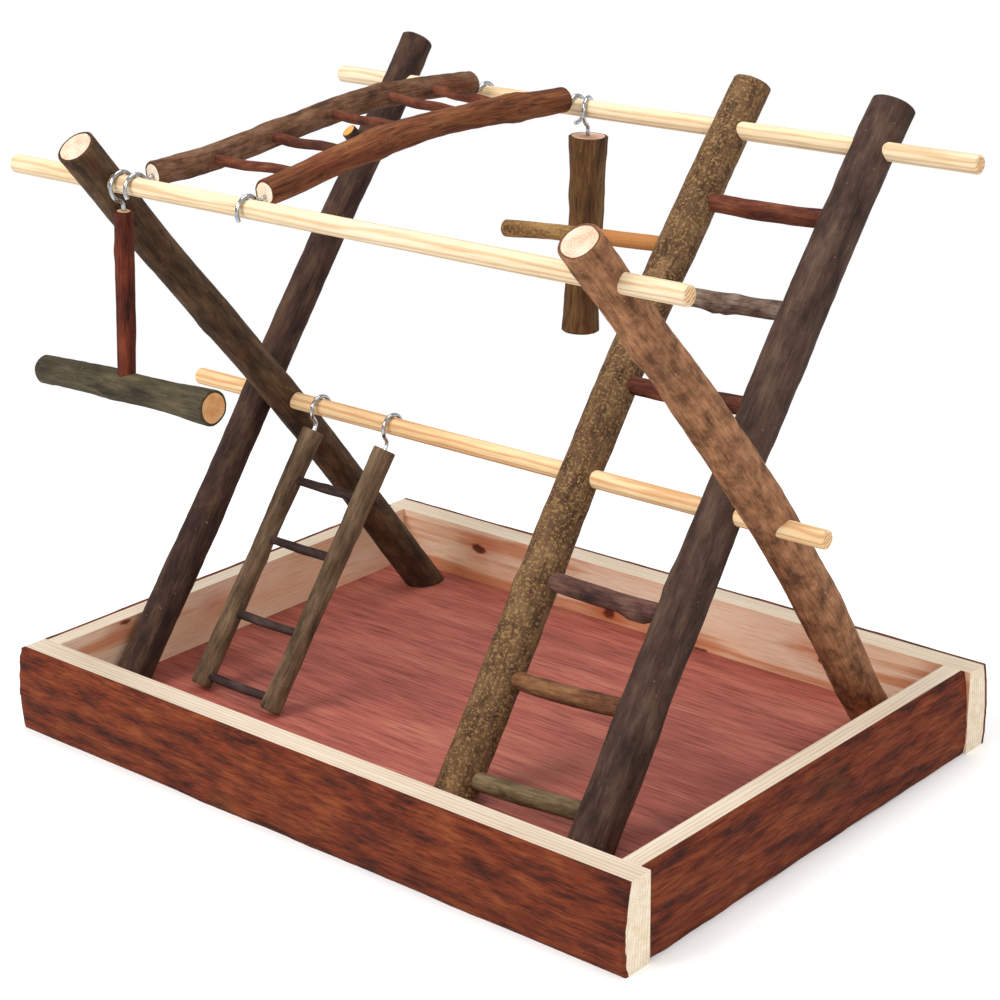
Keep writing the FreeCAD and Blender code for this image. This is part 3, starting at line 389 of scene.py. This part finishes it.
def stick(name, body, slot, coat, cut, seed, foot=0.0, sides=32, step_mm=2.4, knots=(), rough=1.0):
    """Natural stick in place of a CAD one: bark over lumps and knots, and sawn ends with a rim of bark.
    Each knot is a share of the length, an angle, a width in mm and a height in mm."""
    line, along, across, third = spine(name, foot)
    shape = bmesh.new()
    grain = shape.verts.layers.float_vector.new("grain")
    angle = shape.verts.layers.float.new("angle")
    ring = bmesh.ops.create_circle(shape, segments=sides, radius=1.0)["verts"]
    for corner in ring:
        corner[angle] = math.atan2(corner.co.y, corner.co.x)
    edges = shape.edges[:]
    first = edges
    low, high = line[0, 0], line[-1, 0]
    length = high - low
    count = max(8, round(length / (step_mm * MM)))
    levels = [0.0, EASING, *(length * step / count for step in range(1, count)), length - EASING, length]
    size = float(line[:, 3].mean())
    for number, distance in enumerate(levels):
        if number:
            grown = bmesh.ops.extrude_edge_only(shape, edges=edges)["geom"]
            ring = [item for item in grown if isinstance(item, bmesh.types.BMVert)]
            edges = [item for item in grown if isinstance(item, bmesh.types.BMEdge)]
        level = low + distance
        side, up, radius = (float(np.interp(level, line[:, 0], line[:, column])) for column in (1, 2, 3))
        middle = along * level + across * side + third * up
        worn = 0.93 if distance in (0.0, length) else 1.0
        for corner in ring:
            turn = corner[angle]
            round_place = Vector((math.cos(turn), math.sin(turn), 0)) * size
            here = round_place + Vector((0, 0, distance / 3 + seed * 0.7))
            out = radius * worn
            out += (ripple(here, 22, 0.9) + ripple(here, 8, 0.45) + ripple(here, 2.6, 0.3)) * rough
            for share, bearing, width, height in knots:
                apart = (turn - math.radians(bearing) + math.pi) % math.tau - math.pi
                far = math.hypot(apart * radius, (distance - share * length) * 0.75) / (width * MM)
                out += height * MM * (math.exp(-far ** 2) - 0.75 * math.exp(-(far * 2.6) ** 2))
            corner.co = middle + (across * math.cos(turn) + third * math.sin(turn)) * out
            corner[grain] = (math.cos(turn) * out + seed * 0.013, math.sin(turn) * out,
                             distance + seed * 0.37)
    # Sawn ends: a rim of bark, then the wood inside it.
    for end in (first, edges):
        for edge in end:
            edge.smooth = False
        heart = sum((corner.co for edge in end for corner in edge.verts), Vector()) / (2 * len(end))
        grown = bmesh.ops.extrude_edge_only(shape, edges=end)["geom"]
        for corner in grown:
            if isinstance(corner, bmesh.types.BMVert):
                inward = (heart - corner.co).normalized()
                corner.co += inward * BARK_RIM
                turn, out = corner[angle], (corner.co - heart).length
                corner[grain] = (math.cos(turn) * out, math.sin(turn) * out, seed * 0.37)
        inner = [item for item in grown if isinstance(item, bmesh.types.BMEdge)]
        for edge in inner:
            edge.smooth = False
        lid = bmesh.ops.contextual_create(shape, geom=inner)["faces"][0]
        lid.material_index = 1
    # A pole's foot is sawn level, where it stands on the floor.
    if foot:
        ground = Vector((0, 0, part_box(name)[0].z))
        whole = shape.verts[:] + shape.edges[:] + shape.faces[:]
        bmesh.ops.bisect_plane(shape, geom=whole, dist=1e-6, plane_co=ground, plane_no=-UP, clear_outer=True)
        rim = [edge for edge in shape.edges if edge.is_boundary]
        for face in bmesh.ops.holes_fill(shape, edges=rim, sides=0)["faces"]:
            face.material_index = 1
    for face in shape.faces:
        face.smooth = len(face.verts) < 5
    return finished(f"{name}_branch", shape, [coat, cut], body, slot, name)


# Bark of the five poles, and the pale and the pinkish wood of their sawn tops.
pole_cut = sawn_end("sapwood_end", "#eccfae", "#e0b48c", 1.6)
pink_cut = sawn_end("cherry_end", "#efd3bf", "#e2b398", 1.9, "#d09a7c")
left_back_bark = bark("purple_brown_bark", "#2b1b16", "#3f2a22", "#56402f", "#8c7a66", 3.6, 0.14,
                      patch="#55392a", patches=0.35)
left_front_bark = bark("olive_brown_bark", "#302318", "#503b28", "#6c543a", "#8a6a44", 3.6, 0.16,
                       patch="#55331f", patches=0.4, patch_mm=26.0, relief=0.8)
ladder_left_bark = bark("speckled_hazel_bark", "#432d1d", "#644830", "#7a5d40", "#c9a772", 3.0, 0.55,
                        speckle="#a1804f", patch="#54402a", patches=0.35, relief=0.9, stretch=1.6)
ladder_right_bark = bark("dark_hazel_bark", "#30211b", "#47332a", "#5b4639", "#9d8875", 3.4, 0.14,
                         patch="#4c3027", patches=0.4, streaks=0.3)
right_front_bark = bark("mottled_cherry_bark", "#63402c", "#926545", "#b27f5b", "#cba488", 4.2, 0.16,
                        patch="#4f3228", patches=0.36, patch_mm=20.0, relief=0.9, stretch=1.6)
stick("left_back_pole", "stand", "dark_bark_pole", left_back_bark, pole_cut, 1, foot=26 * MM,
      knots=((0.85, 50, 7, 2.4), (0.52, 180, 5, 1.6), (0.2, 100, 6, 1.8)))
stick("left_front_pole", "stand", "red_bark_pole", left_front_bark, pink_cut, 2, foot=26 * MM,
      rough=0.6, knots=((0.86, 15, 6, 2.8), (0.5, 210, 6, 1.2), (0.12, 190, 8, 2.2), (0.66, 60, 5, 1.0)))
stick("ladder_left_pole", "stand", "dark_bark_pole", ladder_left_bark, pole_cut, 3, foot=28 * MM,
      knots=((0.74, 160, 7, 1.6), (0.3, 60, 6, 1.4)))
stick("ladder_right_pole", "stand", "dark_bark_pole", ladder_right_bark, pole_cut, 4, foot=28 * MM,
      knots=((0.8, 130, 6, 1.4), (0.36, 30, 7, 1.8)))
stick("right_front_pole", "stand", "red_bark_pole", right_front_bark, pink_cut, 5, foot=28 * MM,
      knots=((0.83, 60, 8, 2.2), (0.6, 120, 9, 2.4), (0.5, 175, 6, 2.2), (0.3, 10, 7, 1.8)))

# Stub of a side branch, cut off near the top of the left back pole.
STUB_ROOT, STUB_LENGTH = Vector((-211.7, 126.4, 346.3)) * MM, 23 * MM
STUB_THICK, STUB_THIN, STUB_AIM = 6.6 * MM, 5.4 * MM, Vector((-0.2, -0.6, 0.74))
stub = bmesh.new()
bmesh.ops.create_cone(stub, cap_ends=True, segments=24, radius1=STUB_THICK, radius2=STUB_THIN,
                      depth=STUB_LENGTH)
rims = [edge for edge in stub.edges if any(len(face.verts) > 4 for face in edge.link_faces)]
bmesh.ops.bevel(stub, geom=rims, offset=0.8 * MM, segments=3, profile=0.5, affect="EDGES", material=-1)
grain = stub.verts.layers.float_vector.new("grain")
for corner in stub.verts:
    corner[grain] = corner.co
for face in stub.faces:
    face.smooth = len(face.verts) < 5
    face.material_index = 0 if len(face.verts) < 5 else 1
bmesh.ops.translate(stub, verts=stub.verts, vec=(0, 0, STUB_LENGTH / 2))
aim = STUB_AIM.to_track_quat("Z", "Y").to_matrix().to_4x4()
bmesh.ops.transform(stub, matrix=Matrix.Translation(STUB_ROOT) @ aim, verts=stub.verts)
stub_cut = sawn_end("orange_heartwood_end", "#e0a353", "#c7873c", 1.2)
finished("left_back_pole_stub", stub, [left_back_bark, stub_cut], "stand", "dark_bark_pole")

# Perches. Three turned pine dowels, 12 mm thick with eased ends, pushed through the poles. Bare wood,
# pale and dull, with the growth rings showing as stripes along it and slanting across its ends.

# Pine sapwood for the two upper dowels, yellower heartwood for the middle one.
dowel_wood = pine("turned_pine", "#e6d4b6", "#dcc49c", "#cba679", 3.2, 0.5)
warm_dowel_wood = pine("turned_pine_heartwood", "#ecd0a4", "#deb684", "#cd9762", 3.4, 0.55)
dowel_end = pine("dowel_end_grain", "#ebd0a6", "#dfb784", "#bb7f4a", 2.2, 0.8)


def dowel(name, wood):
    """Turned dowel in place of a CAD one, with rounded rims."""
    low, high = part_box(name)
    length, radius = high.x - low.x, (high.z - low.z) / 2
    shape = bmesh.new()
    bmesh.ops.create_cone(shape, cap_ends=True, segments=40, radius1=radius, radius2=radius, depth=length)
    rims = [edge for edge in shape.edges if len(edge.link_faces) == 2
            and any(len(face.verts) > 4 for face in edge.link_faces)]
    bmesh.ops.bevel(shape, geom=rims, offset=1.4 * MM, segments=4, profile=0.5, affect="EDGES", material=-1)
    grain = shape.verts.layers.float_vector.new("grain")
    for corner in shape.verts:
        corner[grain] = (corner.co.x * 0.9 + corner.co.y * 0.5, corner.co.y, corner.co.z + low.y * 3)
    for face in shape.faces:
        face.smooth = len(face.verts) < 5
        face.material_index = 0 if len(face.verts) < 5 else 1
    bmesh.ops.rotate(shape, verts=shape.verts, matrix=Matrix.Rotation(math.pi / 2, 3, "Y"))
    bmesh.ops.translate(shape, verts=shape.verts, vec=(low + high) / 2)
    return finished(f"{name}_dowel", shape, [wood, dowel_end], "stand", "pine_dowel", name)


dowel("back_perch", dowel_wood)
dowel("front_perch", dowel_wood)
dowel("middle_perch", warm_dowel_wood)

# Ladder rungs and side perch. Finger-thick branches, in blind holes between the two ladder poles; the
# side perch sticks out alone, its outer half still in bark and its inner half rubbed bare.

# Bark of the twigs, one for each rung from the top down, and their cut ends.
rung_red = bark("red_twig_bark", "#351710", "#5e2e1c", "#7a4630", "#9c6c50", 3.0, 0.1, patch="#41241b")
rung_brown = bark("brown_twig_bark", "#3f2417", "#6b432a", "#86603f", "#a8845e", 3.0, 0.12, patch="#4e2c1c")
rung_silver = bark("silvery_twig_bark", "#3b2a23", "#6a5548", "#8d7d70", "#b0a292", 3.0, 0.1,
                   patch="#5c3122", patches=0.55, patch_mm=22.0, relief=0.9, stretch=2.0)
rung_purple = bark("purple_twig_bark", "#35211d", "#5a3c34", "#755448", "#94786a", 3.0, 0.1,
                   patch="#3a211c", relief=1.0)
rung_olive = bark("olive_grey_twig_bark", "#40331f", "#66553b", "#7f6d50", "#a0906f", 3.0, 0.15,
                  patch="#544128")
rung_coats = [rung_red, rung_silver, rung_red, rung_purple, rung_brown, rung_olive]
rung_knots = [((0.7, 90, 5, 0.8),), ((0.45, 160, 6, 2.4), (0.55, 20, 5, 1.4)), (),
              ((0.74, 178, 7, 5.0), (0.9, 60, 5, 2.0)), (), ((0.85, 150, 5, 0.8),)]
rung_cut = sawn_end("twig_end", "#e9cba4", "#d9ac7d", 1.2)
for number, (coat, knots) in enumerate(zip(rung_coats, rung_knots), 1):
    stick(f"ladder_rung_{number}", "stand", "brown_bark_stick", coat, rung_cut, 10 + number, sides=24,
          step_mm=2.0, rough=0.7, knots=knots)
# The side perch's bark is rubbed off near the pole, to bare orange-brown wood.
side_bark = bark("tan_twig_bark", "#553b22", "#8a663e", "#a98654", "#c8ab7c", 3.0, 0.2, speckle="#b08a50",
                 patch="#5e3f26", patches=0.45, patch_mm=18.0, bare=(7.462, 7.474, "#a9713f"))
stick("side_perch", "stand", "brown_bark_stick", side_bark, rung_cut, 20, sides=24, step_mm=2.0, rough=0.6,
      knots=((0.3, 250, 3, 1.0),))

# Hooks. Open screw hooks of 2.8 mm steel wire, bent to a ring over an S-bend, zinc-plated bright and
# screwed into the ends of the hanging pieces. Plated wire has hard white and black reflections.

# Radii of the wire, of the ring and of the S-bend, and the shank's length.
HOOK_WIRE, HOOK_RING, HOOK_BEND, HOOK_STRAIGHT = 1.4 * MM, 9.2 * MM, 4.0 * MM, 14.0 * MM
HOOK_DROP = math.sqrt((HOOK_RING + HOOK_BEND) ** 2 - HOOK_BEND ** 2)
plated, tree, shader = new_material("bright_zinc_plate", Metallic=1.0)
flat = node(tree, "TexCoord").outputs["Object"]
cloud = node(tree, "TexNoise", {"Vector": flat, "Scale": 420.0, "Detail": 3.0})
tone = node(tree, "ValToRGB", {"Fac": cloud.outputs[0]}, [(0.35, "#a2a5a9"), (0.65, "#c4c6c9")])
tree.links.new(tone.outputs[0], shader.inputs["Base Color"])
gloss = node(tree, "ValToRGB", {"Fac": cloud.outputs[0]}, [(0.3, "#262626"), (0.7, "#3c3c3c")])
tree.links.new(gloss.outputs[0], shader.inputs["Roughness"])


def hook(name, body, place, wrap):
    """Hook whose wire wraps so many degrees round the ring, at the place of its ring."""
    junction = math.atan2(HOOK_DROP, HOOK_BEND)
    line = [(0.0, -HOOK_DROP - HOOK_STRAIGHT * part / 6) for part in range(6, 0, -1)]
    for part in range(7):
        turn = junction * part / 6
        line.append((HOOK_BEND * (math.cos(turn) - 1), HOOK_BEND * math.sin(turn) - HOOK_DROP))
    tip = math.radians(270 - wrap)
    parts = 26
    for part in range(1, parts + 1):
        turn = junction + math.pi + (tip - junction - math.pi) * part / parts
        line.append((HOOK_RING * math.cos(turn), HOOK_RING * math.sin(turn)))
    shape = bmesh.new()
    angle = shape.verts.layers.float.new("angle")
    ring = bmesh.ops.create_circle(shape, segments=14, radius=1.0)["verts"]
    for corner in ring:
        corner[angle] = math.atan2(corner.co.y, corner.co.x)
    edges = shape.edges[:]
    for number, (out, up) in enumerate(line):
        if number:
            grown = bmesh.ops.extrude_edge_only(shape, edges=edges)["geom"]
            ring = [item for item in grown if isinstance(item, bmesh.types.BMVert)]
            edges = [item for item in grown if isinstance(item, bmesh.types.BMEdge)]
        before, after = line[max(0, number - 1)], line[min(len(line) - 1, number + 1)]
        run = Vector((0, after[0] - before[0], after[1] - before[1])).normalized()
        side = run.cross(RIGHT)
        for corner in ring:
            spoke = RIGHT * math.cos(corner[angle]) + side * math.sin(corner[angle])
            corner.co = Vector((0, out, up)) + spoke * HOOK_WIRE
    bmesh.ops.holes_fill(shape, edges=[edge for edge in shape.edges if edge.is_boundary], sides=0)
    rims = [edge for edge in shape.edges if any(len(face.verts) > 4 for face in edge.link_faces)]
    bmesh.ops.bevel(shape, geom=rims, offset=0.5 * MM, segments=3, profile=0.5, affect="EDGES", material=-1)
    for face in shape.faces:
        face.smooth = len(face.verts) < 5
    bmesh.ops.transform(shape, matrix=place, verts=shape.verts)
    return finished(f"{name}_wire", shape, [plated], body, "hook_wire", name)


def turned(x, y, z, *turns):
    """Place in mm and turns in degrees, each an axis and an angle, as one matrix."""
    place = Matrix.Translation(Vector((x, y, z)) * MM)
    for axis, degrees in turns:
        place @= Matrix.Rotation(math.radians(degrees), 4, axis)
    return place


# Each ring hangs this far below the axis of its perch, whose Y and Z are given in mm.
SLACK = 1.5
FRONT_PERCH, BACK_PERCH, MIDDLE_PERCH = (-141.7, 376.0), (162.2, 392.0), (8.8, 196.0)
HANG = Matrix.Translation((0, 0, -SLACK * MM))
FULL_WRAP, LIFT_OFF_WRAP = 255.0, 188.0
LOG_TWIST, CLIMBER_LEAN, BRIDGE_LEAN = 20, -31.6, -114
hook("swing_hook", "swing", turned(-167.5, *FRONT_PERCH) @ HANG, FULL_WRAP)
hook("log_hook", "log_hanger", turned(-38.5, *BACK_PERCH, ("Z", LOG_TWIST)) @ HANG, FULL_WRAP)
for side, x in (("left", -150), ("right", -83)):
    hook(f"climber_hook_{side}", "climber", turned(x, *MIDDLE_PERCH, ("X", CLIMBER_LEAN)) @ HANG, FULL_WRAP)
for side, front_x, back_x in (("left", -154, -130), ("right", -54.5, -48.5)):
    hook(f"bridge_hook_front_{side}", "bridge",
         turned(front_x, FRONT_PERCH[0], FRONT_PERCH[1] - SLACK, ("Z", 180), ("X", BRIDGE_LEAN)),
         LIFT_OFF_WRAP)
    hook(f"bridge_hook_back_{side}", "bridge",
         turned(back_x, BACK_PERCH[0], BACK_PERCH[1] - SLACK, ("X", BRIDGE_LEAN)), FULL_WRAP)

# Swing. A dark red cherry stem let into the top of a thick olive-grey crosspiece, on one hook. The
# crosspiece is sawn square and its right-hand end shows tan wood in a ring of bark.

stem_bark = bark("cherry_stem_bark", "#33120b", "#5a2515", "#74341f", "#8f5237", 2.8, 0.08, patch="#3f1c14",
                 streaks=0.6)
olive_bark = bark("olive_grey_bark", "#2e281d", "#48402e", "#5f543d", "#84765a", 3.6, 0.14, patch="#40331f",
                  patches=0.4, stretch=5.0)
tan_cut = sawn_end("swing_end", "#dcae7c", "#c98e58", 1.5)
stick("swing_stem", "swing", "swing_bark", stem_bark, rung_cut, 31, sides=24, step_mm=2.0, rough=0.4,
      knots=((0.77, 90, 4, 1.2),))
stick("swing_perch", "swing", "swing_bark", olive_bark, tan_cut, 32, sides=32, step_mm=2.2, rough=1.2,
      knots=((0.46, 100, 6, 1.6), (0.8, 60, 5, 1.2)))

# Log. A short piece of branch, waisted in the middle, hung upright by a hook in its end to be gnawed.
# Streaky brown-olive bark with red patches; the sawn top is pink and a little weathered.

log_bark = bark("streaked_log_bark", "#402a19", "#664628", "#82623a", "#a0824e", 3.6, 0.12, patch="#74411f",
                patches=0.5, patch_mm=30.0, stretch=7.0, streaks=0.55, relief=0.9)
stick("hanging_log", "log_hanger", "log_bark", log_bark, pink_cut, 41, sides=36, step_mm=2.2, rough=1.2,
      knots=((0.7, 60, 6, 1.6),))

# Small ladder. Two thumb-thick olive branches with thin dark rungs in blind holes, hooked over the
# middle perch with their feet on the floor.

climber_bark = bark("olive_twig_bark", "#433324", "#644e3a", "#7e684f", "#9d8a6c", 3.2, 0.12,
                    patch="#503d28", patches=0.4, stretch=4.0)
climber_rung_bark = bark("dark_twig_bark", "#231815", "#3a2a26", "#4f3d37", "#6e5c54", 3.0, 0.1)
for number, side in enumerate(("left", "right")):
    stick(f"climber_stile_{side}", "climber", "grey_bark_stick", climber_bark, rung_cut, 51 + number,
          sides=24, step_mm=2.0, rough=0.8, knots=((0.5 + 0.2 * number, 250, 4, 1.2),))
for number in range(1, 5):
    stick(f"climber_rung_{number}", "climber", "grey_bark_stick", climber_rung_bark, rung_cut, 55 + number,
          sides=16, step_mm=1.8, rough=0.4)

# Bridge. Two arched branches with five red-brown rungs between them, hooked on the back and the front
# perch. The left one is rough and brown, the right one orange-brown with long streaks and a pale node.

bridge_left_bark = bark("rough_brown_bark", "#3f281a", "#66452f", "#83614a", "#a98a68", 3.0, 0.2,
                        patch="#6f3a22", patches=0.5, patch_mm=24.0, relief=1.0, stretch=2.2)
bridge_right_bark = bark("orange_brown_bark", "#452416", "#6f3e22", "#8c5834", "#b0884f", 3.4, 0.08,
                         patch="#6f3320", patches=0.5, patch_mm=34.0, stretch=8.0, streaks=0.6)
bridge_cut = sawn_end("bleached_end", "#f3eadb", "#e8d8be", 1.4)
stick("bridge_stile_left", "bridge", "red_bark_stick", bridge_left_bark, bridge_cut, 61, sides=28,
      step_mm=2.0, rough=1.2, knots=((0.34, 200, 6, 1.8), (0.52, 270, 5, 1.6), (0.7, 190, 5, 1.4)))
stick("bridge_stile_right", "bridge", "red_bark_stick", bridge_right_bark, bridge_cut, 62, sides=28,
      step_mm=2.0, rough=1.0,
      knots=[(share, bearing, 6, 1.5) for share in (0.35, 0.82) for bearing in (0, 90, 180, 270)])
for number in range(1, 6):
    stick(f"bridge_rung_{number}", "bridge", "red_bark_stick", rung_red, rung_cut, 63 + number, sides=18,
          step_mm=1.8, rough=0.5)

# Setting. A plain pale floor, soft light from the front left and from above, and a camera standing
# where the photograph was taken from.

floor_shape = bmesh.new()
bmesh.ops.create_grid(floor_shape, x_segments=1, y_segments=1, size=14.0)
floor_mesh = bpy.data.meshes.new("floor")
floor_shape.to_mesh(floor_mesh)
floor_shape.free()
floor = bpy.data.objects.new("floor", floor_mesh)
bpy.context.scene.collection.objects.link(floor)
paper, tree, shader = new_material("white_paper", Roughness=0.9)
shader.inputs["Base Color"].default_value = linear("#fafaf9")
place = node(tree, "TexCoord").outputs["Object"]
away = node(tree, "VectorMath", {0: place}, operation="LENGTH").outputs["Value"]
fade = node(tree, "MapRange", {"Value": away, "From Min": 0.38, "From Max": 0.85}).outputs[0]
glow = node(tree, "Emission", {"Color": (1, 1, 1, 1), "Strength": 1.0})
blend = node(tree, "MixShader", {0: fade, 1: shader.outputs[0], 2: glow.outputs[0]})
tree.links.new(blend.outputs[0], tree.nodes["Material Output"].inputs["Surface"])
floor_mesh.materials.append(paper)

world = bpy.data.worlds.new("studio")
bpy.context.scene.world = world
world.use_nodes = True
tree = world.node_tree
ray = node(tree, "LightPath")
seen = node(tree, "Math", {0: ray.outputs["Is Camera Ray"], 1: 0.38, 2: 0.62}, operation="MULTIPLY_ADD")
tree.nodes["Background"].inputs["Color"].default_value = linear("#ffffff")
tree.links.new(seen.outputs[0], tree.nodes["Background"].inputs["Strength"])


def softbox(name, place, aim, size, power):
    """Round soft light, aimed at a point, with its width in metres and its power in watts."""
    lamp = bpy.data.lights.new(name, "AREA")
    lamp.shape = "DISK"
    lamp.size = size
    lamp.energy = power
    holder = bpy.data.objects.new(name, lamp)
    bpy.context.scene.collection.objects.link(holder)
    holder.location = place
    holder.rotation_euler = (Vector(aim) - Vector(place)).to_track_quat("-Z", "Y").to_euler()


softbox("key", (-0.9, -2.1, 2.1), (0, 0, 0.15), 1.6, 62)
softbox("overhead", (0.3, 0.4, 2.6), (0, 0, 0.1), 1.8, 34)
softbox("fill", (2.4, -1.2, 1.2), (0, 0, 0.2), 1.4, 16)

# The camera solved from the photograph. Its turn is an axis times an angle in radians, from the frame's
# axes to the camera's right, down and forward.
CAMERA_PLACE = Vector((984.0, -1119.6, 700.1)) * MM
CAMERA_TURN = Vector((1.82866607, 0.666408986, -0.485024418))
camera = bpy.data.objects.new("camera", bpy.data.cameras.new("camera"))
bpy.context.scene.collection.objects.link(camera)
camera.data.lens = 87.45
camera.data.sensor_width = 36.0
sight = Quaternion(CAMERA_TURN.normalized(), CAMERA_TURN.length).to_matrix()
camera.matrix_world = Matrix.LocRotScale(
    CAMERA_PLACE, Matrix((sight[0], -sight[1], -sight[2])).transposed(), None)
bpy.context.scene.camera = camera
bpy.context.scene.view_settings.view_transform = "Standard"
